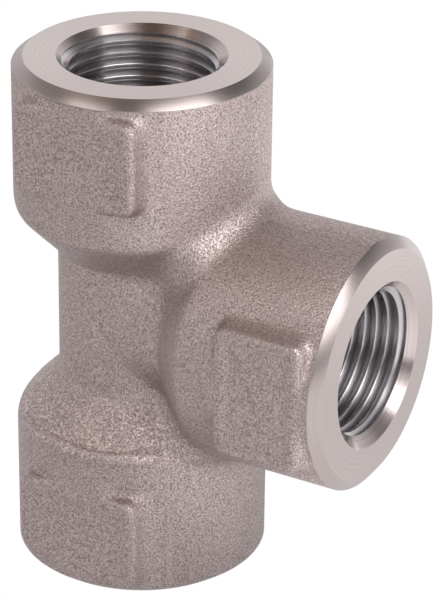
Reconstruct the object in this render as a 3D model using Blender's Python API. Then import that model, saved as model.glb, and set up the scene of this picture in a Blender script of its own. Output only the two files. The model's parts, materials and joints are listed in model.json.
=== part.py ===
# Female threaded tee: a closed-die forging in stainless steel, machined at its three ends.
#
# The body is one piece. Its forged skin is an upright run and a side branch, both turned forms with
# a round boss at each end, a shoulder and a narrower waist. The two are blended by a valley fillet.
# Raised flat pads stand on the front and back of each boss, for a wrench or a vice. Then the three
# ends are bored: a countersunk mouth, a tapered bore at the thread's crests, and a crossing passage.
#
# Units are metres, +Z is up. The run stands along Z and the branch points along +X. The origin is
# under the middle of the whole body, on the plane that the lower end face stands on.

import math

import bmesh
import bpy
from mathutils import Vector

# Forged skin
CENTRE_TO_END = 0.0303       # from where the axes cross to each end face
BOSS_RADIUS = 0.0144
WAIST_RADIUS = 0.0095
SHOULDER_CORNER = 0.0128     # from the centre to where the cone would meet the boss
SHOULDER_ANGLE = 44.0        # degrees between the shoulder cone and its axis
SHOULDER_FRONT_ROUND = 0.0010  # outer rounding from the boss to the cone, on the front and back
SHOULDER_SIDE_ROUND = 0.0045   # the same on the sides, which are pressed less sharply
SHOULDER_FILLET = 0.0011     # inner fillet from the cone to the waist
VALLEY_FILLET = 0.0028       # inner fillet where run and branch meet

# Raised pads
PAD_HALF_WIDTH = 0.0076      # on the flat face, across the boss
PAD_PROUD = 0.00012          # how far the flat stands past the boss
PAD_SHOULDER_GAP = 0.0048    # from the shoulder corner to the pad
PAD_END_GAP = 0.0020         # from the pad to the end face
PAD_CORNER_RADIUS = 0.0014
PAD_FAR_RADIUS = 0.0032      # of the lower pads' outer corner on the side away from the branch
PAD_DRAFT = 12.0             # degrees, so that the forging leaves its die
PAD_EDGE_ROUND = 0.0005
PAD_ROOT = 0.0012            # how far a pad reaches into the boss, for the union

# Machined ends
CHAMFER_WIDTH = 0.00126       # across the end face
CHAMFER_DEPTH = 0.00093       # along the axis
THREAD_CREST_RADIUS = 0.0076  # at the mouth, on the thread's crests
THREAD_TAPER = 1.0 / 32.0     # radius lost for each unit of depth
THREAD_DEPTH = 0.0148
COUNTERSINK_WIDTH = 0.0019    # from the thread's crests to the rim of the mouth
COUNTERSINK_ANGLE = 45.0      # degrees between the countersink and the axis
DRILL_POINT_ANGLE = 59.0      # degrees between the drill's point and the axis
RUN_PASSAGE_RADIUS = 0.0053
BRANCH_PASSAGE_RADIUS = 0.0050

# Mesh fineness
SKIN_SIDES = 96              # round each limb, a multiple of four
BORE_SIDES = 48
WAIST_RINGS = 4
FOOT_RINGS = 4               # in the fillet at the foot of a shoulder
CONE_RINGS = 2
CORNER_RINGS = 4             # in the sharp part of a shoulder's outer rounding
CORNER_EDGE_RINGS = 2        # on each side of it, in the wider rounding of the sides
BOSS_RINGS = 5
LEAN_FADE = 0.0070           # past the boss's radius, where the skin's rings stop leaning
PAD_CORNER_STEPS = 5
OVERCUT = 0.002              # cutters start this far outside the metal
PROBE = 0.00001              # step that finds which way a form faces
PARALLEL_COSINE = 0.9995     # faces closer than this to one direction get no fillet
FILLET_REACH = 0.0084        # further than this from either form, no fillet is felt
SEARCH_STEPS = 40            # halvings of a ray's length, to find where it meets the skin
WELD = 0.000002              # points closer than this are one

CENTRE = Vector(((BOSS_RADIUS - CENTRE_TO_END) / 2, 0.0, CENTRE_TO_END))


def clear_scene():
    for item in list(bpy.data.objects):
        bpy.data.objects.remove(item, do_unlink=True)


def blasted_steel():
    material = bpy.data.materials.new("blasted_steel")
    material.use_nodes = True
    shader = material.node_tree.nodes["Principled BSDF"]
    shader.inputs["Base Color"].default_value = (0.50, 0.445, 0.42, 1.0)
    shader.inputs["Metallic"].default_value = 1.0
    shader.inputs["Roughness"].default_value = 0.5
    return material


def rounded_overlap(first, second, cosine, radius):
    """Signed distance to what two forms share, with their corner rounded to an arc.

    first and second are the distances to the two forms, and cosine is that of the angle between
    the directions in which their faces look.
    """
    if cosine > PARALLEL_COSINE:
        return max(first, second)
    across_first = first + radius
    across_second = second + radius
    if min(across_first - across_second * cosine, across_second - across_first * cosine) <= 0.0:
        return max(first, second)
    square = across_first ** 2 + across_second ** 2 - 2 * across_first * across_second * cosine
    return math.sqrt(square / (1 - cosine ** 2)) - radius


def filleted_union(first, second, cosine, radius):
    """Signed distance to two forms joined, with the arc of a fillet between them."""
    return -rounded_overlap(-first, -second, cosine, radius)


def limb_distance(radial, along, forward):
    """Signed distance to one limb, from a point's distances from its axis, along it and forward.

    The limb is a boss, a shoulder cone and a waist about one axis. The shoulder's outer rounding
    is sharp on the front and back, and grows wide towards the sides.
    """
    angle = math.radians(SHOULDER_ANGLE)
    lean = math.cos(angle)
    side_share = 1.0 - (forward / max(radial, PROBE)) ** 2
    shoulder_round = SHOULDER_FRONT_ROUND + (SHOULDER_SIDE_ROUND - SHOULDER_FRONT_ROUND) * side_share
    boss_side = radial - BOSS_RADIUS
    cone_side = boss_side * lean - (along - SHOULDER_CORNER) * math.sin(angle)
    boss = rounded_overlap(boss_side, cone_side, lean, shoulder_round)
    return filleted_union(boss, radial - WAIST_RADIUS, lean, SHOULDER_FILLET)


def run_distance(point):
    return limb_distance(math.hypot(point.x, point.y), abs(point.z), point.y)


def branch_distance(point):
    return max(limb_distance(math.hypot(point.y, point.z), point.x, point.y), -point.x)


def facing(distance, point):
    """The direction in which a form's distance grows fastest at a point."""
    steps = [Vector(axis) * PROBE for axis in ((1, 0, 0), (0, 1, 0), (0, 0, 1))]
    return Vector([distance(point + step) - distance(point - step) for step in steps]).normalized()


def skin_distance(point):
    """Signed distance to the forged skin, from a point measured from where the axes cross."""
    run = run_distance(point)
    branch = branch_distance(point)
    if max(abs(run), abs(branch)) > FILLET_REACH:
        return min(run, branch)
    cosine = facing(run_distance, point).dot(facing(branch_distance, point))
    return filleted_union(run, branch, cosine, VALLEY_FILLET)


def point_on_skin(start, direction):
    """The point where a ray from a limb's axis leaves the forged skin."""
    inside = 0.0
    outside = CENTRE_TO_END + BOSS_RADIUS
    for _ in range(SEARCH_STEPS):
        middle = (inside + outside) / 2
        if skin_distance(start + direction * middle) < 0.0:
            inside = middle
        else:
            outside = middle
    return start + direction * inside


def stretch(low, high, steps):
    return [low + (high - low) * step / steps for step in range(steps)]


def ring_stations():
    """How far from the centre each ring of the skin starts, closer together where it curves."""
    angle = math.radians(SHOULDER_ANGLE)
    foot = SHOULDER_CORNER - (BOSS_RADIUS - WAIST_RADIUS) / math.tan(angle)
    wide = SHOULDER_SIDE_ROUND * math.tan(angle / 2)
    sharp = SHOULDER_FRONT_ROUND * math.tan(angle / 2)
    chamfer = CENTRE_TO_END - CHAMFER_DEPTH
    return (
        stretch(0.0, foot - SHOULDER_FILLET, WAIST_RINGS)
        + stretch(foot - SHOULDER_FILLET, foot + SHOULDER_FILLET, FOOT_RINGS)
        + stretch(foot + SHOULDER_FILLET, SHOULDER_CORNER - wide, CONE_RINGS)
        + stretch(SHOULDER_CORNER - wide, SHOULDER_CORNER - sharp, CORNER_EDGE_RINGS)
        + stretch(SHOULDER_CORNER - sharp, SHOULDER_CORNER + sharp, CORNER_RINGS)
        + stretch(SHOULDER_CORNER + sharp, SHOULDER_CORNER + wide, CORNER_EDGE_RINGS)
        + stretch(SHOULDER_CORNER + wide, chamfer, BOSS_RINGS)
        + [chamfer]
    )


def limb_rings(axis, side):
    """Rings of points round one limb, from its mitre with the other limbs to its end face.

    axis points out along the limb and side across it, square to Y. Near the centre each ring leans
    over, until the first one lies in the mitre planes that the three limbs share.
    """
    outwards = directions_round(Vector((0.0, 1.0, 0.0)), side, SKIN_SIDES)
    lean_end = min(BOSS_RADIUS + LEAN_FADE, CENTRE_TO_END - CHAMFER_DEPTH)
    rings = []
    for station in ring_stations():
        lean = max(0.0, 1.0 - station / lean_end)
        rings.append([
            point_on_skin(axis * station, outward + axis * lean * lean_share(axis, outward))
            for outward in outwards
        ])
    flat_radius = BOSS_RADIUS - CHAMFER_WIDTH
    rings.append([axis * CENTRE_TO_END + outward * flat_radius for outward in outwards])
    return rings


def directions_round(first, second, sides):
    """Unit directions all the way round, from first towards second."""
    turns = [2 * math.pi * step / sides for step in range(sides)]
    return [first * math.cos(turn) + second * math.sin(turn) for turn in turns]


def lean_share(axis, outward):
    """How far a ring leans on this side: the run only towards the branch, the branch both ways."""
    if axis.x == 0:
        return max(0.0, outward.x)
    return abs(outward.z)


def forged_skin(material):
    """The closed skin of the forging, ring by ring, with flat ends still unbored."""
    shape = bmesh.new()
    limbs = (
        (Vector((0, 0, 1)), Vector((1, 0, 0))),
        (Vector((0, 0, -1)), Vector((1, 0, 0))),
        (Vector((1, 0, 0)), Vector((0, 0, 1))),
    )
    for axis, side in limbs:
        rings = [[CENTRE + point for point in ring] for ring in limb_rings(axis, side)]
        loops = add_loft(shape, rings)
        shape.faces.new(loops[-1])
    bmesh.ops.remove_doubles(shape, verts=shape.verts, dist=WELD)
    bmesh.ops.recalc_face_normals(shape, faces=shape.faces)
    bmesh.ops.triangulate(shape, faces=[face for face in shape.faces if len(face.verts) == 4])
    body = object_from(shape, "tee_body")
    body.data.materials.append(material)
    body.data.shade_smooth()
    body.data.set_sharp_from_angle(angle=math.radians(30))
    return body


def add_loft(shape, rings):
    """Joins rings of points, each to the next, with a band of faces, and returns their vertices."""
    loops = [[shape.verts.new(point) for point in ring] for ring in rings]
    for loop, following in zip(loops, loops[1:]):
        for step in range(len(loop)):
            after = (step + 1) % len(loop)
            shape.faces.new((loop[step], loop[after], following[after], following[step]))
    return loops


def add_closed_loft(shape, rings):
    loops = add_loft(shape, rings)
    shape.faces.new(loops[0])
    shape.faces.new(loops[-1])


def object_from(shape, name):
    mesh = bpy.data.meshes.new(name)
    shape.to_mesh(mesh)
    shape.free()
    item = bpy.data.objects.new(name, mesh)
    bpy.context.scene.collection.objects.link(item)
    return item


def make_tool(item):
    """Marks a shape that only joins or cuts the body, and isn't a piece of its own."""
    item.hide_render = True
    item.display_type = "WIRE"
    return item


def pad_outline(half_length, half_width, outer_radii):
    """A rectangle with round corners, centred, in order round its edge.

    outer_radii are those of the two corners near the limb's end, at plus and minus half_width.
    """
    corners = (
        (1, 1, outer_radii[0], 0.0),
        (-1, 1, PAD_CORNER_RADIUS, 0.5 * math.pi),
        (-1, -1, PAD_CORNER_RADIUS, math.pi),
        (1, -1, outer_radii[1], 1.5 * math.pi),
    )
    points = []
    for end, edge, radius, start in corners:
        for step in range(PAD_CORNER_STEPS + 1):
            turn = start + 0.5 * math.pi * step / PAD_CORNER_STEPS
            along = end * (half_length - radius) + radius * math.cos(turn)
            across = edge * (half_width - radius) + radius * math.sin(turn)
            points.append((along, across))
    return points


def add_pad(shape, axis, face):
    """One drafted pad on a boss, from its limb's axis and the direction that its flat faces."""
    side = axis.cross(face)
    if axis.z >= 0.0:
        outer_radii = (PAD_CORNER_RADIUS, PAD_CORNER_RADIUS)
    elif side.x < 0.0:
        outer_radii = (PAD_FAR_RADIUS, PAD_CORNER_RADIUS)
    else:
        outer_radii = (PAD_CORNER_RADIUS, PAD_FAR_RADIUS)
    low = SHOULDER_CORNER + PAD_SHOULDER_GAP
    high = CENTRE_TO_END - PAD_END_GAP
    middle = CENTRE + axis * (low + high) / 2
    flat = BOSS_RADIUS + PAD_PROUD
    slope = math.tan(math.radians(PAD_DRAFT))
    boss_at_side = math.sqrt(max(BOSS_RADIUS ** 2 - PAD_HALF_WIDTH ** 2, 0.0))
    root = boss_at_side - PAD_ROOT
    levels = (
        (flat, PAD_EDGE_ROUND),
        (flat - PAD_EDGE_ROUND * (1 - math.sqrt(0.5)), PAD_EDGE_ROUND * (1 - math.sqrt(0.5))),
        (flat - PAD_EDGE_ROUND, 0.0),
        (root, -slope * (flat - PAD_EDGE_ROUND - root)),
    )
    rings = []
    for height, inset in levels:
        outline = pad_outline((high - low) / 2 - inset, PAD_HALF_WIDTH - inset, outer_radii)
        rings.append([middle + face * height + axis * along + side * across for along, across in outline])
    add_closed_loft(shape, rings)


def wrench_pads():
    """The raised pads on the front and back of the three bosses, in one joining shape."""
    shape = bmesh.new()
    for front in (-1.0, 1.0):
        face = Vector((0.0, front, 0.0))
        for axis in (Vector((0, 0, 1)), Vector((0, 0, -1)), Vector((1, 0, 0))):
            add_pad(shape, axis, face)
    bmesh.ops.recalc_face_normals(shape, faces=shape.faces)
    return make_tool(object_from(shape, "wrench_pads"))


def socket_profile(passage_radius):
    """Radius and distance from the centre, from outside a mouth in to the passage."""
    sink = math.tan(math.radians(COUNTERSINK_ANGLE))
    mouth_radius = THREAD_CREST_RADIUS + COUNTERSINK_WIDTH
    sink_depth = COUNTERSINK_WIDTH / sink
    bottom_radius = THREAD_CREST_RADIUS - THREAD_TAPER * (THREAD_DEPTH - sink_depth)
    point_depth = (bottom_radius - passage_radius) / math.tan(math.radians(DRILL_POINT_ANGLE))
    return [
        (mouth_radius + OVERCUT * sink, CENTRE_TO_END + OVERCUT),
        (THREAD_CREST_RADIUS, CENTRE_TO_END - sink_depth),
        (bottom_radius, CENTRE_TO_END - THREAD_DEPTH),
        (passage_radius, CENTRE_TO_END - THREAD_DEPTH - point_depth),
    ]


def turned_cutter(name, profile, axis, side):
    """A closed turned shape about an axis through the centre, from a profile of radius and distance."""
    outwards = directions_round(side, axis.cross(side), BORE_SIDES)
    shape = bmesh.new()
    add_closed_loft(shape, [
        [CENTRE + axis * distance + outward * radius for outward in outwards]
        for radius, distance in profile
    ])
    bmesh.ops.recalc_face_normals(shape, faces=shape.faces)
    return make_tool(object_from(shape, name))


def bore_cutters():
    """The run is bored from both ends, and the branch from its mouth to the run's passage."""
    upper = socket_profile(RUN_PASSAGE_RADIUS)
    lower = [(radius, -distance) for radius, distance in reversed(upper)]
    branch = socket_profile(BRANCH_PASSAGE_RADIUS) + [(BRANCH_PASSAGE_RADIUS, 0.0)]
    run_cutter = turned_cutter("run_bore", upper + lower, Vector((0, 0, 1)), Vector((1, 0, 0)))
    branch_cutter = turned_cutter("branch_bore", branch, Vector((1, 0, 0)), Vector((0, 1, 0)))
    return run_cutter, branch_cutter


def combine(body, tool, operation):
    step = body.modifiers.new(tool.name, "BOOLEAN")
    step.operation = operation
    step.solver = "EXACT"
    step.object = tool


clear_scene()
tee_body = forged_skin(blasted_steel())
combine(tee_body, wrench_pads(), "UNION")
for cutter in bore_cutters():
    combine(tee_body, cutter, "DIFFERENCE")
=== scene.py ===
import json
import math

import bmesh
import bpy
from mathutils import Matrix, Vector

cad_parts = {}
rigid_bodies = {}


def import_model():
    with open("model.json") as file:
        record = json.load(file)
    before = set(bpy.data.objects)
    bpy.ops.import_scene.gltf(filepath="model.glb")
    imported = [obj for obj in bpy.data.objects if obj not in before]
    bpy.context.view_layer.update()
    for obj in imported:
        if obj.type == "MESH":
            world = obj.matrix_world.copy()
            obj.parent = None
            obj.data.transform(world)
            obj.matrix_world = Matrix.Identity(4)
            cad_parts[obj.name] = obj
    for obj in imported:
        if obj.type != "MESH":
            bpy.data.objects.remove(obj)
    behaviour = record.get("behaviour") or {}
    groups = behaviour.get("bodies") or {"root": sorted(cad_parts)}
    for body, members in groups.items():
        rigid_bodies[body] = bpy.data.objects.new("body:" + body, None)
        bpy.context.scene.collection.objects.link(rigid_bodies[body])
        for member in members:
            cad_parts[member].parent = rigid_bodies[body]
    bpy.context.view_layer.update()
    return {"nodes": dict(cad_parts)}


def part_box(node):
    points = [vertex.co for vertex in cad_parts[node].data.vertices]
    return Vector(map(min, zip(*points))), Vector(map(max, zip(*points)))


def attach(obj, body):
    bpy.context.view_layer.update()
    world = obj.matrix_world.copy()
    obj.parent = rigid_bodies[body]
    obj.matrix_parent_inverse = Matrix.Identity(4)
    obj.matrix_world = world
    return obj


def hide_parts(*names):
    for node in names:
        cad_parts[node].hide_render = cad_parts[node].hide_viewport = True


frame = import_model()

# Camera: the photograph was taken through a long lens, from above and to the right of straight in
# front, with the camera rolled by less than a degree. Its picture is 600 pixels high.
PHOTO_HEIGHT = 600
CAMERA_AZIMUTH = math.radians(29.763)
CAMERA_ELEVATION = math.radians(26.086)
CAMERA_ROLL = math.radians(0.710)
CAMERA_DISTANCE = 0.34351
CAMERA_FOCAL_PIXELS = 3015.3
CAMERA_ASIDE = 0.008963          # how far the view's middle lies to the right of the crossing axes
CAMERA_ABOVE = 0.000344          # and above them
CAMERA_NEAREST = 0.01            # nothing nearer than this is drawn
FILM_SIZE = 36.0                 # millimetres, along the picture's longer side

BODY_LOW, BODY_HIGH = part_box("tee_body")
END_HEIGHT = (BODY_HIGH.z - BODY_LOW.z) / 2       # from the crossing axes to each end
CROSSING = Vector((BODY_HIGH.x - END_HEIGHT, 0.0, END_HEIGHT))

to_camera = Vector((
    math.sin(CAMERA_AZIMUTH) * math.cos(CAMERA_ELEVATION),
    -math.cos(CAMERA_AZIMUTH) * math.cos(CAMERA_ELEVATION),
    math.sin(CAMERA_ELEVATION),
))
level_right = Vector((math.cos(CAMERA_AZIMUTH), math.sin(CAMERA_AZIMUTH), 0.0))
level_up = to_camera.cross(level_right)
camera_data = bpy.data.cameras.new("photo_camera")
camera_data.sensor_width = FILM_SIZE
camera_data.lens = camera_data.sensor_width * CAMERA_FOCAL_PIXELS / PHOTO_HEIGHT
camera_data.clip_start = CAMERA_NEAREST
camera = bpy.data.objects.new("photo_camera", camera_data)
bpy.context.scene.collection.objects.link(camera)
camera.location = (
    CROSSING
    + to_camera * CAMERA_DISTANCE
    + level_right * CAMERA_ASIDE
    + level_up * CAMERA_ABOVE
)
camera.rotation_euler = to_camera.to_track_quat("Z", "Y").to_euler()
camera.rotation_euler.rotate_axis("Z", CAMERA_ROLL)
bpy.context.scene.camera = camera


# Raw forging: stainless bar pressed between two dies into a tee, trimmed, then grit-blasted.
# It starts as a copy of the frame's solid with its bores taken out and stock left on its ends,
# and is remeshed finely, so that every edge and foot that the dies left can be softly rounded.
BOSS_RADIUS = BODY_HIGH.x - END_HEIGHT - BODY_LOW.x
STOCK = 0.0012                   # left on each end, to be machined away
FORGING_GRAIN = 0.00021          # size of the forging's faces
MERGE = 0.000001
AT_END = END_HEIGHT - MERGE * 10          # what lies farther out than this is on an end face
FACING = 0.999                   # cosine of the angle between an end face's normal and its axis


def show_only(item):
    bpy.ops.object.select_all(action="DESELECT")
    item.select_set(True)
    bpy.context.view_layer.objects.active = item


def apply_modifiers(item):
    show_only(item)
    for step in list(item.modifiers):
        bpy.ops.object.modifier_apply(modifier=step.name)


def select_where(mesh, kind, test):
    """Selects the faces or vertices, as BMesh lists them, that pass a test."""
    shape = bmesh.from_edit_mesh(mesh)
    for item in getattr(shape, kind):
        item.select_set(test(item))
    shape.select_flush_mode()
    bmesh.update_edit_mesh(mesh)


LIMBS = (
    ("top", Vector((0, 0, 1))),
    ("bottom", Vector((0, 0, -1))),
    ("branch", Vector((1, 0, 0))),
)


def along(axis, point):
    return (point - CROSSING).dot(axis)


def on_end_face(face):
    middle = face.calc_center_median()
    return any(face.normal.dot(axis) > FACING and along(axis, middle) > AT_END for name, axis in LIMBS)


show_only(frame["nodes"]["tee_body"])
bpy.ops.object.duplicate()
tee = bpy.context.object
tee.name = "forged_tee"
tee.data.name = "forged_tee"
bpy.ops.object.mode_set(mode="EDIT")
bpy.ops.mesh.select_mode(type="VERT")
bpy.ops.mesh.select_all(action="SELECT")
bpy.ops.mesh.remove_doubles(threshold=MERGE)
bpy.ops.mesh.select_mode(type="FACE")
bpy.ops.mesh.select_all(action="DESELECT")
select_where(tee.data, "faces", on_end_face)
bpy.ops.mesh.delete(type="FACE")
bpy.ops.mesh.select_mode(type="VERT")
shape = bmesh.from_edit_mesh(tee.data)
innermost = min(shape.verts, key=lambda v: (v.co - CROSSING).length)
innermost.select_set(True)
bmesh.update_edit_mesh(tee.data)
bpy.ops.mesh.select_linked()
bpy.ops.mesh.delete(type="VERT")
for name, axis in LIMBS:
    bpy.ops.mesh.select_all(action="DESELECT")
    select_where(tee.data, "verts", lambda v: along(axis, v.co) > AT_END)
    rim = [v for v in bmesh.from_edit_mesh(tee.data).verts if v.select]
    rim_radius = max((v.co - CROSSING - axis * END_HEIGHT).length for v in rim)
    grow = BOSS_RADIUS / rim_radius
    bpy.ops.transform.resize(value=(grow, grow, grow), center_override=CROSSING + axis * END_HEIGHT)
    bpy.ops.mesh.edge_face_add()
    bpy.ops.transform.translate(value=axis * STOCK)
bpy.ops.object.mode_set(mode="OBJECT")

fine = tee.modifiers.new("fine", "REMESH")
fine.mode = "VOXEL"
fine.voxel_size = FORGING_GRAIN
apply_modifiers(tee)


# Die radii: the dies have a small radius along every edge, and a wide one in the valleys beside
# the branch, where the metal has to flow. Here each vertex is marked for the roundings that it is
# to get, which are worked below, after the fold and the rims are raised.
VALLEY_HALF_WIDTH = 0.0050       # on each side of the mitre between run and branch
VALLEY_START = 0.0
VALLEY_END = 0.0170
HOLLOW_ALONG = 0.0080            # where a valley meets the shoulders, this far along both limbs
HOLLOW_REACH = 0.0050            # and the hollow's radius there
WAIST_REACH = 0.0050             # radius of the smooth place in the waist's middle
EASE_WIDTH = 0.0016              # the roundings of valleys, hollows and waist fade out over this
PAD_HALF_WIDTH = 0.0076
PAD_START = 0.0176               # along the limb from the crossing
PAD_END = 0.0283
PAD_EDGE_REACH = 0.0016          # on each side of a pad's edges
PAD_FOOT_REACH = 0.0026          # out from them, across the wider radius at a pad's foot
PAD_FOOT_DEPTH = 0.0134          # from the middle plane of the forging: a foot lies nearer to it


def faded(depth):
    """How fully a place this far inside a region is worked."""
    return max(0.0, min(1.0, depth / EASE_WIDTH))


def in_valley(vertex):
    place = vertex.co - CROSSING
    beside_mitre = VALLEY_HALF_WIDTH - abs(place.x - abs(place.z))
    return faded(min(beside_mitre, place.x - VALLEY_START, VALLEY_END - place.x))


def in_hollow(vertex):
    place = vertex.co - CROSSING
    return faded(HOLLOW_REACH - math.hypot(place.x - HOLLOW_ALONG, abs(place.z) - HOLLOW_ALONG))


def in_waist_middle(vertex):
    place = vertex.co - CROSSING
    return faded(WAIST_REACH - math.hypot(place.x, place.z))


def in_pad_edge(vertex):
    place = vertex.co - CROSSING
    distance, aside = sorted((abs(place.z), abs(place.x)), reverse=True)
    in_length = PAD_START - PAD_EDGE_REACH < distance < PAD_END + PAD_EDGE_REACH
    at_side = in_length and abs(aside - PAD_HALF_WIDTH) < PAD_EDGE_REACH
    at_end = aside < PAD_HALF_WIDTH and (
        abs(distance - PAD_START) < PAD_EDGE_REACH or abs(distance - PAD_END) < PAD_EDGE_REACH
    )
    return at_side or at_end


def in_pad_foot(vertex):
    place = vertex.co - CROSSING
    distance, aside = sorted((abs(place.z), abs(place.x)), reverse=True)
    in_length = PAD_START - PAD_FOOT_REACH < distance < PAD_END + PAD_EDGE_REACH
    out_from_edge = -PAD_EDGE_REACH / 2 < aside - PAD_HALF_WIDTH < PAD_FOOT_REACH
    return in_length and out_from_edge and abs(place.y) < PAD_FOOT_DEPTH


ROUNDINGS = (                    # each one's name, its places and its smoothing passes
    ("valleys", in_valley, 14),
    ("hollows", in_hollow, 60),
    ("waist_middle", in_waist_middle, 40),
    ("pad_feet", in_pad_foot, 40),
    ("pad_edges", in_pad_edge, 32),
)
for name, share, passes in ROUNDINGS:
    group = tee.vertex_groups.new(name=name)
    for vertex in tee.data.vertices:
        group.add([vertex.index], float(share(vertex)), "REPLACE")


# Fold and rims: a fold in the hot metal left a low ridge, a little wavy, along the front of the
# lower boss's shoulder, and each pad's rim stands a little proud. The last passes of smoothing go
# over the whole forging.
FOLD_DISTANCE = 0.0128           # along the limb from the crossing
FOLD_HALF_WIDTH = 0.00060
FOLD_HEIGHT = 0.00020
FOLD_DEPTH = 0.0105              # it ends where the shoulder comes nearer to the middle plane
FOLD_WANDER = 0.00012            # how far it strays to each side
FOLD_WAVES = 600.0               # radians to the metre
RIM_DEPTH = 0.0138               # from the middle plane: the rim lies farther out
RIM_HEIGHT = 0.00022
SMOOTHING = 0.5                  # how far one pass moves a vertex towards its neighbours' middle
SOFTENING_PASSES = 6


def on_fold(vertex):
    place = vertex.co - CROSSING
    wander = FOLD_WANDER * math.sin(place.x * FOLD_WAVES)
    return abs(-place.z - FOLD_DISTANCE - wander) < FOLD_HALF_WIDTH and place.y < -FOLD_DEPTH


def smooth_over(item, name, passes, group):
    flow = item.modifiers.new(name, "SMOOTH")
    flow.factor = SMOOTHING
    flow.iterations = passes
    flow.vertex_group = group


bpy.ops.object.mode_set(mode="EDIT")
bpy.ops.mesh.select_mode(type="VERT")
bpy.ops.mesh.select_all(action="DESELECT")
select_where(tee.data, "verts", on_fold)
bpy.ops.transform.shrink_fatten(value=FOLD_HEIGHT)
bpy.ops.mesh.select_all(action="DESELECT")
select_where(tee.data, "verts", lambda v: in_pad_edge(v) and abs(v.co.y) > RIM_DEPTH)
bpy.ops.transform.shrink_fatten(value=RIM_HEIGHT)
bpy.ops.object.mode_set(mode="OBJECT")
for name, share, passes in ROUNDINGS:
    smooth_over(tee, name, passes, name)
smooth_over(tee, "soften", SOFTENING_PASSES, "")
apply_modifiers(tee)


# Parting line: the thin flash between the dies was trimmed off all round the tee's middle plane,
# and left a low flat band there, which runs up to each machined end. The mesh is thinned after it.
TRIM_HALF_WIDTH = 0.00095
TRIM_HEIGHT = 0.00005
FACES_KEPT = 0.28

bpy.ops.object.mode_set(mode="EDIT")
bpy.ops.mesh.select_mode(type="VERT")
bpy.ops.mesh.select_all(action="DESELECT")
select_where(tee.data, "verts", lambda v: abs(v.co.y) < TRIM_HALF_WIDTH)
bpy.ops.transform.shrink_fatten(value=TRIM_HEIGHT)
bpy.ops.object.mode_set(mode="OBJECT")

thin = tee.modifiers.new("thin", "DECIMATE")
thin.ratio = FACES_KEPT
apply_modifiers(tee)


# Blasted skin: fine grit left a dull pitted surface on the forging, warm grey, whose tiny facets
# catch the light one by one.
SKIN_COLOUR = (0.42, 0.34, 0.33)          # plain, under the pattern that is laid over it
SKIN_ROUGHNESS = 0.40
GRIT_SCALE = 5000.0
GRIT_DETAIL = 1.5
PIT_DEPTH = 0.00010
PIT_COLOUR = (0.28, 0.225, 0.219)
FACET_COLOUR = (0.62, 0.514, 0.503)
PIT_ROUGHNESS = 0.62
FACET_ROUGHNESS = 0.38
NOISE_LOW = 0.30                 # most of a noise texture's values lie between these two
NOISE_HIGH = 0.70


def plain_steel(name, colour, roughness):
    material = bpy.data.materials.new(name)
    material.use_nodes = True
    shader = material.node_tree.nodes["Principled BSDF"]
    shader.inputs["Base Color"].default_value = (*colour, 1.0)
    shader.inputs["Metallic"].default_value = 1.0
    shader.inputs["Roughness"].default_value = roughness
    return material


def steer(material, setting, value):
    """Lets a value that the nodes work out set one of the shader's settings."""
    material.node_tree.links.new(value, material.node_tree.nodes["Principled BSDF"].inputs[setting])


def own_place(material):
    """Where a point lies on the piece, in metres."""
    return material.node_tree.nodes.new("ShaderNodeTexCoord").outputs["Object"]


def coordinate(material, place, letter):
    split = material.node_tree.nodes.new("ShaderNodeSeparateXYZ")
    material.node_tree.links.new(place, split.inputs["Vector"])
    return split.outputs[letter]


def noise(material, scale, detail):
    grain = material.node_tree.nodes.new("ShaderNodeTexNoise")
    grain.inputs["Scale"].default_value = scale
    grain.inputs["Detail"].default_value = detail
    material.node_tree.links.new(own_place(material), grain.inputs["Vector"])
    return grain.outputs["Fac"]


def graded(material, value, low, high, low_result, high_result, easing="LINEAR"):
    """Maps a range of a value on to another range, kept inside it."""
    step = material.node_tree.nodes.new("ShaderNodeMapRange")
    step.interpolation_type = easing
    step.inputs["From Min"].default_value = low
    step.inputs["From Max"].default_value = high
    step.inputs["To Min"].default_value = low_result
    step.inputs["To Max"].default_value = high_result
    material.node_tree.links.new(value, step.inputs["Value"])
    return step.outputs["Result"]


def combined(material, operation, first, second):
    step = material.node_tree.nodes.new("ShaderNodeMath")
    step.operation = operation
    material.node_tree.links.new(first, step.inputs[0])
    material.node_tree.links.new(second, step.inputs[1])
    return step.outputs["Value"]


def mixed_colour(material, share, at_none, at_full):
    tone = material.node_tree.nodes.new("ShaderNodeMix")
    tone.data_type = "RGBA"
    tone.inputs["A"].default_value = (*at_none, 1.0)
    tone.inputs["B"].default_value = (*at_full, 1.0)
    material.node_tree.links.new(share, tone.inputs["Factor"])
    return tone.outputs["Result"]


def scaled_colour(material, colour, amount):
    step = material.node_tree.nodes.new("ShaderNodeVectorMath")
    step.operation = "SCALE"
    material.node_tree.links.new(colour, step.inputs["Vector"])
    material.node_tree.links.new(amount, step.inputs["Scale"])
    return step.outputs["Vector"]


def raise_bumps(material, height, distance):
    bump = material.node_tree.nodes.new("ShaderNodeBump")
    bump.inputs["Strength"].default_value = 1.0
    bump.inputs["Distance"].default_value = distance
    material.node_tree.links.new(height, bump.inputs["Height"])
    steer(material, "Normal", bump.outputs["Normal"])


blasted = plain_steel("blasted_skin", SKIN_COLOUR, SKIN_ROUGHNESS)
grit = noise(blasted, GRIT_SCALE, GRIT_DETAIL)
raise_bumps(blasted, grit, PIT_DEPTH)
facet_share = graded(blasted, grit, NOISE_LOW, NOISE_HIGH, 0.0, 1.0)
grit_colour = mixed_colour(blasted, facet_share, PIT_COLOUR, FACET_COLOUR)
steer(blasted, "Roughness", graded(blasted, grit, NOISE_LOW, NOISE_HIGH, PIT_ROUGHNESS, FACET_ROUGHNESS))


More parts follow.
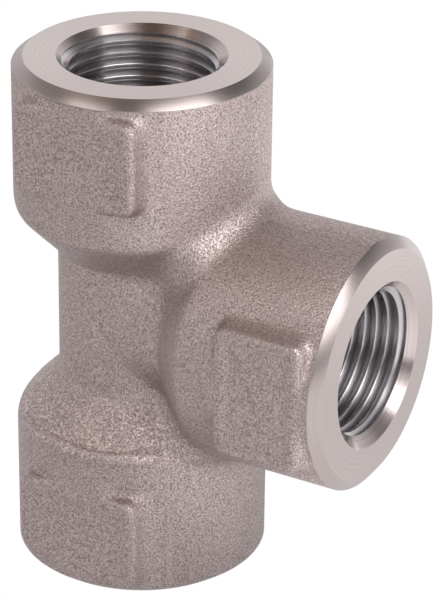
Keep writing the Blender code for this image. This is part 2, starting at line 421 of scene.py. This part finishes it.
# Painted highlight: the lower shoulder above the fold faces up into the light, so its colour is lifted in
# coarse bright specks, a painted sparkle, which thin out upwards.
SPARKLE_LINE = CROSSING.z - FOLD_DISTANCE   # the fold's height
SPARKLE_BELOW = 0.0003             # the specks set in from this far below the fold
SPARKLE_ABOVE = 0.0002             # to this far above it
SPARKLE_FULL = 0.0025              # they start to thin out this far above it
SPARKLE_REACH = 0.0065             # and are gone this far above it
SPARKLE_SHARE = 0.85               # how fully they show where they are thickest
SPARKLE_GRAIN = 2600.0
SPARKLE_DETAIL = 1.0
SPECK_LOW = 0.48                 # noise values between which a speck sets in
SPECK_HIGH = 0.66
PAINTED_SPARKLE_LIFT = 1.55                # times brighter, a painted highlight, where a speck shows fully

above_table = coordinate(blasted, own_place(blasted), "Z")
thinning = graded(blasted, above_table, SPARKLE_LINE + SPARKLE_FULL, SPARKLE_LINE + SPARKLE_REACH, SPARKLE_SHARE, 0.0)
setting_in = graded(blasted, above_table, SPARKLE_LINE - SPARKLE_BELOW, SPARKLE_LINE + SPARKLE_ABOVE, 0.0, 1.0)
painted_specks = graded(blasted, noise(blasted, SPARKLE_GRAIN, SPARKLE_DETAIL), SPECK_LOW, SPECK_HIGH, 0.0, 1.0)
in_shoulder = combined(blasted, "MULTIPLY", thinning, setting_in)
painted_sparkle = combined(blasted, "MULTIPLY", in_shoulder, painted_specks)
# Painted sparkle: the skin's colour is made brighter in the specks, standing in for light caught from above
sparkle_lift = graded(blasted, painted_sparkle, 0.0, 1.0, 1.0, PAINTED_SPARKLE_LIFT)
steer(blasted, "Base Color", scaled_colour(blasted, grit_colour, sparkle_lift))


# Turned ends: a lathe tool left fine rings round each limb's axis on the end face, its chamfer and
# the countersink. Light spreads across the rings and stays sharp along them.
TURNED_COLOUR = (0.60, 0.54, 0.52)        # plain, under the rings' own two colours
FACE_ROUGHNESS = 0.22
RING_SPREAD = 0.55
RING_SCALE = 6000.0
RING_DETAIL = 2.0
RING_DEPTH = 0.000002
RING_DARK = (0.49, 0.422, 0.412)
RING_LIGHT = (0.55, 0.475, 0.462)
AXIAL_SHARE = 0.4
RUN_REACH = BOSS_RADIUS + 0.001  # a point farther towards the branch than this lies on it


def turned_steel(name, colour, roughness, spread):
    """Steel with fine rings round the axis of the limb that the point is on; also gives its radius."""
    material = plain_steel(name, colour, roughness)
    nodes = material.node_tree.nodes
    links = material.node_tree.links

    def vector_step(operation, *values):
        step = nodes.new("ShaderNodeVectorMath")
        step.operation = operation
        for slot, value in zip(step.inputs, values):
            if isinstance(value, Vector):
                slot.default_value = value
            else:
                links.new(value, slot)
        return step

    from_crossing = vector_step("SUBTRACT", own_place(material), CROSSING).outputs["Vector"]
    on_branch = nodes.new("ShaderNodeMath")
    on_branch.operation = "GREATER_THAN"
    on_branch.inputs[1].default_value = RUN_REACH
    links.new(coordinate(material, from_crossing, "X"), on_branch.inputs[0])

    def for_limb(on_the_run, on_the_branch):
        choice = nodes.new("ShaderNodeMix")
        choice.data_type = "VECTOR"
        choice.inputs["A"].default_value = on_the_run
        choice.inputs["B"].default_value = on_the_branch
        links.new(on_branch.outputs["Value"], choice.inputs["Factor"])
        return choice.outputs["Result"]

    square_to_axis = for_limb((1.0, 1.0, 0.0), (0.0, 1.0, 1.0))
    outwards = vector_step("MULTIPLY", from_crossing, square_to_axis).outputs["Vector"]
    axial = for_limb((0.0, 0.0, AXIAL_SHARE), (AXIAL_SHARE, 0.0, 0.0))
    direction = vector_step("NORMALIZE", outwards).outputs["Vector"]
    across_rings = vector_step("ADD", direction, axial).outputs["Vector"]
    nodes["Principled BSDF"].inputs["Anisotropic"].default_value = spread
    steer(material, "Tangent", across_rings)
    return material, vector_step("LENGTH", outwards).outputs["Value"]


turned, ring_radius = turned_steel("turned_end", TURNED_COLOUR, FACE_ROUGHNESS, RING_SPREAD)
rings = turned.node_tree.nodes.new("ShaderNodeTexNoise")
rings.noise_dimensions = "1D"
rings.inputs["Scale"].default_value = RING_SCALE
rings.inputs["Detail"].default_value = RING_DETAIL
turned.node_tree.links.new(ring_radius, rings.inputs["W"])
raise_bumps(turned, rings.outputs["Fac"], RING_DEPTH)
ring_share = graded(turned, rings.outputs["Fac"], NOISE_LOW, NOISE_HIGH, 0.0, 1.0)
ring_colour = mixed_colour(turned, ring_share, RING_DARK, RING_LIGHT)


# Thread finish: the tap cut the drilled steel and left bright flanks and crests, whose shine is
# drawn out along the helix.
THREAD_COLOUR = (0.54, 0.515, 0.53)
THREAD_ROUGHNESS = 0.24
THREAD_SPREAD = 0.95

threaded = turned_steel("cut_thread", THREAD_COLOUR, THREAD_ROUGHNESS, THREAD_SPREAD)[0]

FINISHES = (blasted, turned, threaded)
BLASTED, TURNED, THREADED = range(3)


def give_finishes(item, finish):
    item.data.materials.clear()
    for material in FINISHES:
        item.data.materials.append(material)
    for face in item.data.polygons:
        face.material_index = finish


give_finishes(tee, BLASTED)


# Machined ends: each raw boss is faced off square and chamfered round its rim, with the chamfer's
# outer edge just broken. The facing tool here is the turned form that it cuts away on the lathe.
CHAMFER_DEPTH = 0.00093
CHAMFER_WIDTH = 0.00126
CHAMFER_ROUGHNESS = 0.34         # it was cut with a coarser feed than the face, so it is duller
PAINTED_CHAMFER_SHADE = 0.80             # its colour is darkened by this share, painted shade that dims the light it reflects
EDGE_BREAK = 0.00006             # where it starts, in from the boss's side
BREAK_LENGTH = EDGE_BREAK * 4    # along the limb, till the tool has run out past the boss's side
OVERCUT = 0.003
TURNING_SIDES = 160
TURN_TO_LIMB = {"top": (0, 0, 0), "bottom": (math.pi, 0, 0), "branch": (0, math.pi / 2, 0)}


def turned_cutter(name, profile, finish):
    """Spins a profile of radius and height, listed from bottom to top, into a closed cutter on Z."""
    mesh = bpy.data.meshes.new(name)
    cutter = bpy.data.objects.new(name, mesh)
    bpy.context.scene.collection.objects.link(cutter)
    points = [(0.0, profile[0][1])] + list(profile) + [(0.0, profile[-1][1])]
    edges = [(step, step + 1) for step in range(len(points) - 1)]
    mesh.from_pydata([(radius, 0.0, height) for radius, height in points], edges, [])
    show_only(cutter)
    bpy.ops.object.mode_set(mode="EDIT")
    bpy.ops.mesh.select_all(action="SELECT")
    bpy.ops.mesh.spin(steps=TURNING_SIDES, angle=2 * math.pi, center=(0, 0, 0), axis=(0, 0, 1))
    bpy.ops.mesh.select_all(action="SELECT")
    bpy.ops.mesh.remove_doubles(threshold=MERGE)
    bpy.ops.mesh.normals_make_consistent(inside=False)
    bpy.ops.object.mode_set(mode="OBJECT")
    give_finishes(cutter, finish)
    return cutter


def copy_for(tool, name):
    """A copy of a tool made on Z, turned to work on one limb's end, with its place applied."""
    show_only(tool)
    bpy.ops.object.duplicate()
    copy = bpy.context.object
    copy.location = CROSSING
    copy.rotation_euler = TURN_TO_LIMB[name]
    bpy.ops.object.transform_apply(location=True, rotation=True, scale=True)
    return copy


def use_up(item):
    mesh = item.data
    bpy.data.objects.remove(item, do_unlink=True)
    bpy.data.meshes.remove(mesh)


def cut(body, cutter, operation):
    step = body.modifiers.new(cutter.name, "BOOLEAN")
    step.operation = operation
    step.solver = "MANIFOLD"
    step.object = cutter
    apply_modifiers(body)
    use_up(cutter)


flat_radius = BOSS_RADIUS - CHAMFER_WIDTH
chamfer_rim = BOSS_RADIUS - EDGE_BREAK
chamfer_low = END_HEIGHT - (chamfer_rim - flat_radius) * CHAMFER_DEPTH / CHAMFER_WIDTH
break_low = chamfer_low - BREAK_LENGTH
facing_tool = turned_cutter("facing_tool", [
    (flat_radius, END_HEIGHT),
    (chamfer_rim, chamfer_low),
    (BOSS_RADIUS + EDGE_BREAK, break_low),
    (BOSS_RADIUS + OVERCUT, break_low),
    (BOSS_RADIUS + OVERCUT, END_HEIGHT + OVERCUT),
], TURNED)
for name, axis in LIMBS:
    cut(tee, copy_for(facing_tool, name), "DIFFERENCE")
use_up(facing_tool)


def from_face_to_chamfer(on_face, on_chamfer):
    """A value that changes at the circle where the flat face meets its chamfer."""
    inside = flat_radius - EDGE_BREAK
    outside = flat_radius + EDGE_BREAK
    return graded(turned, ring_radius, inside, outside, on_face, on_chamfer)


steer(turned, "Roughness", from_face_to_chamfer(FACE_ROUGHNESS, CHAMFER_ROUGHNESS))
# Painted shade: the chamfer's colour is darkened, to dim the light it reflects
steer(turned, "Base Color", scaled_colour(turned, ring_colour, from_face_to_chamfer(1.0, PAINTED_CHAMFER_SHADE)))


# Pipe threads: 18 threads to the inch on a taper of 1 in 16, right-handed, cut by a tap in a hole
# drilled with a taper and countersunk. The tap is one tooth's outline wound into a helix, then
# tapered, and cut to length by a turned envelope.
CREST_RADIUS = 0.0076
THREAD_TAPER = 1.0 / 32.0        # on the radius
SOCKET_DEPTH = 0.0148
MOUTH_RADIUS = 0.0095
PASSAGE_RADIUS = {"top": 0.0053, "bottom": 0.0053, "branch": 0.0050}
DRILL_POINT_ANGLE = math.radians(59.0)    # between the drill's axis and its point's side
PITCH = 0.001411
THREAD_HEIGHT = 0.00076
FLANK_ANGLE = math.radians(30)
CREST_FLAT = 0.00046             # wide crests, because the hole was drilled large for the tap
CREST_ROUND = 0.00010            # their rubbed edges
ROOT_FLAT = PITCH - CREST_FLAT - THREAD_HEIGHT * 2 * math.tan(FLANK_ANGLE)
TAP_TURNS = 14
TAP_STEPS = 80
TAP_LENGTH = PITCH * (TAP_TURNS + 1)
TAP_TIP = 0.004                  # the envelope's heights above the tap's first turn
TAP_FULL = 0.010
TAP_BUTT = PITCH * TAP_TURNS - 0.001
TAP_TIP_INSET = 0.002            # inside the crests at the tip
TAP_CLEARANCE = 0.004            # outside them from the full height on
TAP_TURNS_OUT = 0.002            # how far its turns would pass the end face, had it kept its butt
SMOOTH_ANGLE = math.radians(30)  # two faces that meet at less than this are shaded as one


def rubbed_edge(corner, before, after):
    """Three points that round one edge of a crest, between the directions of its two sides."""
    tangent = CREST_ROUND * math.tan(FLANK_ANGLE)
    inset = CREST_ROUND / math.cos(FLANK_ANGLE) - CREST_ROUND
    return [
        corner + before * tangent,
        corner + (before + after).normalized() * inset,
        corner + after * tangent,
    ]


crest_end = CREST_FLAT / 2
root_start = (PITCH - ROOT_FLAT) / 2
upwards = Vector((0.0, 0.0, 1.0))
flank_out = Vector((math.cos(FLANK_ANGLE), 0.0, math.sin(FLANK_ANGLE)))
flank_back = Vector((flank_out.x, 0.0, -flank_out.z))
tooth = (
    [Vector((CREST_RADIUS, 0.0, 0.0))]
    + rubbed_edge(Vector((CREST_RADIUS, 0.0, crest_end)), -upwards, flank_out)
    + [Vector((CREST_RADIUS + THREAD_HEIGHT, 0.0, root_start))]
    + [Vector((CREST_RADIUS + THREAD_HEIGHT, 0.0, PITCH - root_start))]
    + rubbed_edge(Vector((CREST_RADIUS, 0.0, PITCH - crest_end)), flank_back, upwards)
    + [Vector((CREST_RADIUS, 0.0, PITCH))]
)
tap_mesh = bpy.data.meshes.new("tap")
tap = bpy.data.objects.new("tap", tap_mesh)
bpy.context.scene.collection.objects.link(tap)
edges = [(step, step + 1) for step in range(len(tooth) - 1)]
tap_mesh.from_pydata(tooth, edges, [])
wind = tap.modifiers.new("wind", "SCREW")
wind.axis = "Z"
wind.angle = 2 * math.pi
wind.screw_offset = PITCH
wind.iterations = TAP_TURNS
wind.steps = TAP_STEPS
wind.render_steps = TAP_STEPS
apply_modifiers(tap)
bpy.ops.object.mode_set(mode="EDIT")
bpy.ops.mesh.select_all(action="SELECT")
bpy.ops.mesh.remove_doubles(threshold=MERGE)
bpy.ops.mesh.select_mode(type="EDGE")
for at_top in (False, True):
    bpy.ops.mesh.select_all(action="DESELECT")
    shape = bmesh.from_edit_mesh(tap_mesh)
    for edge in shape.edges:
        height = (edge.verts[0].co.z + edge.verts[1].co.z) / 2
        edge.select_set(edge.is_boundary and (height > TAP_LENGTH / 2) == at_top)
    bmesh.update_edit_mesh(tap_mesh)
    bpy.ops.mesh.extrude_region_move()
    bpy.ops.mesh.merge(type="CENTER")
bpy.ops.mesh.select_all(action="SELECT")
bpy.ops.mesh.normals_make_consistent(inside=False)
bpy.ops.object.mode_set(mode="OBJECT")
give_finishes(tap, THREADED)

taper = tap.modifiers.new("taper", "SIMPLE_DEFORM")
taper.deform_method = "TAPER"
taper.deform_axis = "Z"
taper.factor = THREAD_TAPER * TAP_LENGTH / CREST_RADIUS
apply_modifiers(tap)
envelope = turned_cutter("envelope", [
    (CREST_RADIUS - TAP_TIP_INSET, TAP_TIP),
    (CREST_RADIUS + TAP_CLEARANCE, TAP_FULL),
    (CREST_RADIUS + TAP_CLEARANCE, TAP_BUTT),
], THREADED)
cut(tap, envelope, "INTERSECT")
tap.location.z = END_HEIGHT - PITCH * TAP_TURNS + TAP_TURNS_OUT
show_only(tap)
bpy.ops.object.transform_apply(location=True, rotation=True, scale=True)

sink = MOUTH_RADIUS - CREST_RADIUS
bottom_radius = CREST_RADIUS - THREAD_TAPER * (SOCKET_DEPTH - sink)
for name, axis in LIMBS:
    point = (bottom_radius - PASSAGE_RADIUS[name]) / math.tan(DRILL_POINT_ANGLE)
    drill = turned_cutter("drill", [
        (PASSAGE_RADIUS[name], 0.0),
        (PASSAGE_RADIUS[name], END_HEIGHT - SOCKET_DEPTH - point),
        (bottom_radius, END_HEIGHT - SOCKET_DEPTH),
        (CREST_RADIUS, END_HEIGHT - sink),
        (MOUTH_RADIUS + OVERCUT, END_HEIGHT + OVERCUT),
    ], TURNED)
    cut(tee, copy_for(drill, name), "DIFFERENCE")
    use_up(drill)
    cut(tee, copy_for(tap, name), "DIFFERENCE")
use_up(tap)

show_only(tee)
bpy.ops.object.shade_smooth_by_angle(angle=SMOOTH_ANGLE)
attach(tee, "root")
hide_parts("tee_body")


# Table: a plain white one. The camera sees it as white paper. The metal sees a painted reflection of it
# instead, which glows brighter on the right, where the softbox stands, and holds a painted shadow behind on
# the right.
TABLE_SIZE = 6.0
TABLE_DROP = 0.0001              # below the tee's lower end
TABLE_COLOUR = (0.85, 0.85, 0.85, 1.0)
TABLE_ROUGHNESS = 0.9
WHITE_STRENGTH = 1.0
BRIGHTER_WAY = (0.98, 0.20, 0.0)
BRIGHT_FROM = 0.0                # metres that way from the origin
BRIGHT_TO = 0.028
DIM_SIDE = 0.78
BRIGHT_SIDE = 1.46
SHADOW_MIDDLE = (0.022, 0.050, 0.0)
SHADOW_CORE = 0.01               # radius of its even middle
SHADOW_EDGE = 0.09
IN_SHADOW = 0.62                 # shares of the light
OUT_OF_SHADOW = 0.96

bpy.ops.mesh.primitive_plane_add(size=TABLE_SIZE, location=(0.0, 0.0, -TABLE_DROP))
floor = bpy.context.object
floor.name = "floor"
paper = bpy.data.materials.new("white_table")
paper.use_nodes = True
nodes = paper.node_tree.nodes
links = paper.node_tree.links
lit = nodes["Principled BSDF"]
lit.inputs["Base Color"].default_value = TABLE_COLOUR
lit.inputs["Roughness"].default_value = TABLE_ROUGHNESS
white = nodes.new("ShaderNodeEmission")
white.inputs["Strength"].default_value = WHITE_STRENGTH
reflected = nodes.new("ShaderNodeEmission")


def measured_along(material, place, way):
    """How far a place, or a direction, reaches along a way."""
    step = material.node_tree.nodes.new("ShaderNodeVectorMath")
    step.operation = "DOT_PRODUCT"
    step.inputs[1].default_value = way
    material.node_tree.links.new(place, step.inputs[0])
    return step.outputs["Value"]


def other_for(rays, usual, other):
    """One look for most rays, and another for the rays of one kind."""
    choice = nodes.new("ShaderNodeMixShader")
    links.new(rays, choice.inputs["Fac"])
    links.new(usual, choice.inputs[1])
    links.new(other, choice.inputs[2])
    return choice.outputs["Shader"]


to_the_right = measured_along(paper, own_place(paper), BRIGHTER_WAY)
slope = graded(paper, to_the_right, BRIGHT_FROM, BRIGHT_TO, DIM_SIDE, BRIGHT_SIDE, "SMOOTHSTEP")
away = nodes.new("ShaderNodeVectorMath")
away.operation = "DISTANCE"
away.inputs[1].default_value = SHADOW_MIDDLE
links.new(own_place(paper), away.inputs[0])
shadow = graded(
    paper, away.outputs["Value"], SHADOW_CORE, SHADOW_EDGE, IN_SHADOW, OUT_OF_SHADOW, "SMOOTHSTEP"
)
# Painted reflection: the table glows for the metal's reflections, with a painted gradient and a painted
# shadow
links.new(combined(paper, "MULTIPLY", slope, shadow), reflected.inputs["Strength"])
ray = nodes.new("ShaderNodeLightPath")
in_metal = other_for(ray.outputs["Is Glossy Ray"], lit.outputs["BSDF"], reflected.outputs["Emission"])
seen = other_for(ray.outputs["Is Camera Ray"], in_metal, white.outputs["Emission"])
links.new(seen, nodes["Material Output"].inputs["Surface"])
floor.data.materials.append(paper)


# Studio: a white backdrop low round the table, with a dim room above it. The ceiling is darkest
# in front and warm on its left, the wall behind is pale on the left and dark on the right, and
# past the table's front edge a low strip of the room is dark.
BACKDROP_TOP = 0.30              # heights in the studio are sines of the elevation
ROOM_START = 0.62
BACKDROP_LIGHT = 0.85
ROOM_LIGHT = 0.33
PATCHES = (                      # azimuth, elevation, reach in degrees, and the light it adds
    (25.0, 74.0, 42.0, -0.21),
    (210.0, 26.0, 34.0, 0.30),
    (155.0, 36.0, 36.0, -0.22),
    (222.0, 64.0, 40.0, 0.28),
)
STRIP_AZIMUTH = 40.0
STRIP_EDGE = 0.10                # cosines of the angle from the strip's azimuth
STRIP_CORE = 0.60
STRIP_FULL = 0.10                # the strip is full up to this height
STRIP_TOP = 0.24                 # and ends at this one
STRIP_LIGHT = -0.65
WARM_AZIMUTH = -25.0
WARM_ELEVATION = 70.0
WARM_REACH = 50.0
WARM_COLOUR = (1.0, 0.74, 0.58)

world = bpy.data.worlds.new("studio")
bpy.context.scene.world = world
world.use_nodes = True
compass = world.node_tree.nodes.new("ShaderNodeTexCoord").outputs["Generated"]
sky_height = coordinate(world, compass, "Z")


def towards(azimuth, elevation):
    """A direction from the tee: azimuth from straight in front towards the branch, in degrees."""
    turn = math.radians(azimuth)
    rise = math.radians(elevation)
    return Vector((math.sin(turn) * math.cos(rise), -math.cos(turn) * math.cos(rise), math.sin(rise)))


def patch(azimuth, elevation, reach, amount):
    """A round patch of the room with soft edges: how much light it adds, or takes away."""
    nearness = measured_along(world, compass, towards(azimuth, elevation))
    return graded(world, nearness, math.cos(math.radians(reach)), 1.0, 0.0, amount, "SMOOTHSTEP")


light = graded(world, sky_height, BACKDROP_TOP, ROOM_START, BACKDROP_LIGHT, ROOM_LIGHT, "SMOOTHSTEP")
for azimuth, elevation, reach, amount in PATCHES:
    light = combined(world, "ADD", light, patch(azimuth, elevation, reach, amount))
in_front = measured_along(world, compass, towards(STRIP_AZIMUTH, 0.0))
strip_side = graded(world, in_front, STRIP_EDGE, STRIP_CORE, 0.0, STRIP_LIGHT)
strip_share = graded(world, sky_height, STRIP_FULL, STRIP_TOP, 1.0, 0.0)
light = combined(world, "ADD", light, combined(world, "MULTIPLY", strip_side, strip_share))
background = world.node_tree.nodes["Background"]
world.node_tree.links.new(light, background.inputs["Strength"])
warmth = patch(WARM_AZIMUTH, WARM_ELEVATION, WARM_REACH, 1.0)
room_colour = mixed_colour(world, warmth, (1.0, 1.0, 1.0), WARM_COLOUR)
world.node_tree.links.new(room_colour, background.inputs["Color"])
bpy.context.scene.view_settings.view_transform = "Standard"


# Softboxes: two lamps behind white cloth. A large one high on the right gives the bright side, and
# a small one fills the front left.
SOFTBOX_DISTANCE = 0.6


def softbox(name, direction, width, height, brightness):
    data = bpy.data.lights.new(name, "AREA")
    data.shape = "RECTANGLE"
    data.size = width
    data.size_y = height
    data.energy = brightness * math.pi * width * height
    item = bpy.data.objects.new(name, data)
    item.location = CROSSING + direction * SOFTBOX_DISTANCE
    item.rotation_euler = direction.to_track_quat("Z", "Y").to_euler()
    bpy.context.scene.collection.objects.link(item)


softbox("right_softbox", towards(74.0, 42.5), width=0.50, height=0.46, brightness=3.8)
softbox("front_softbox", towards(-25.0, 46.0), width=0.34, height=0.20, brightness=2.3)
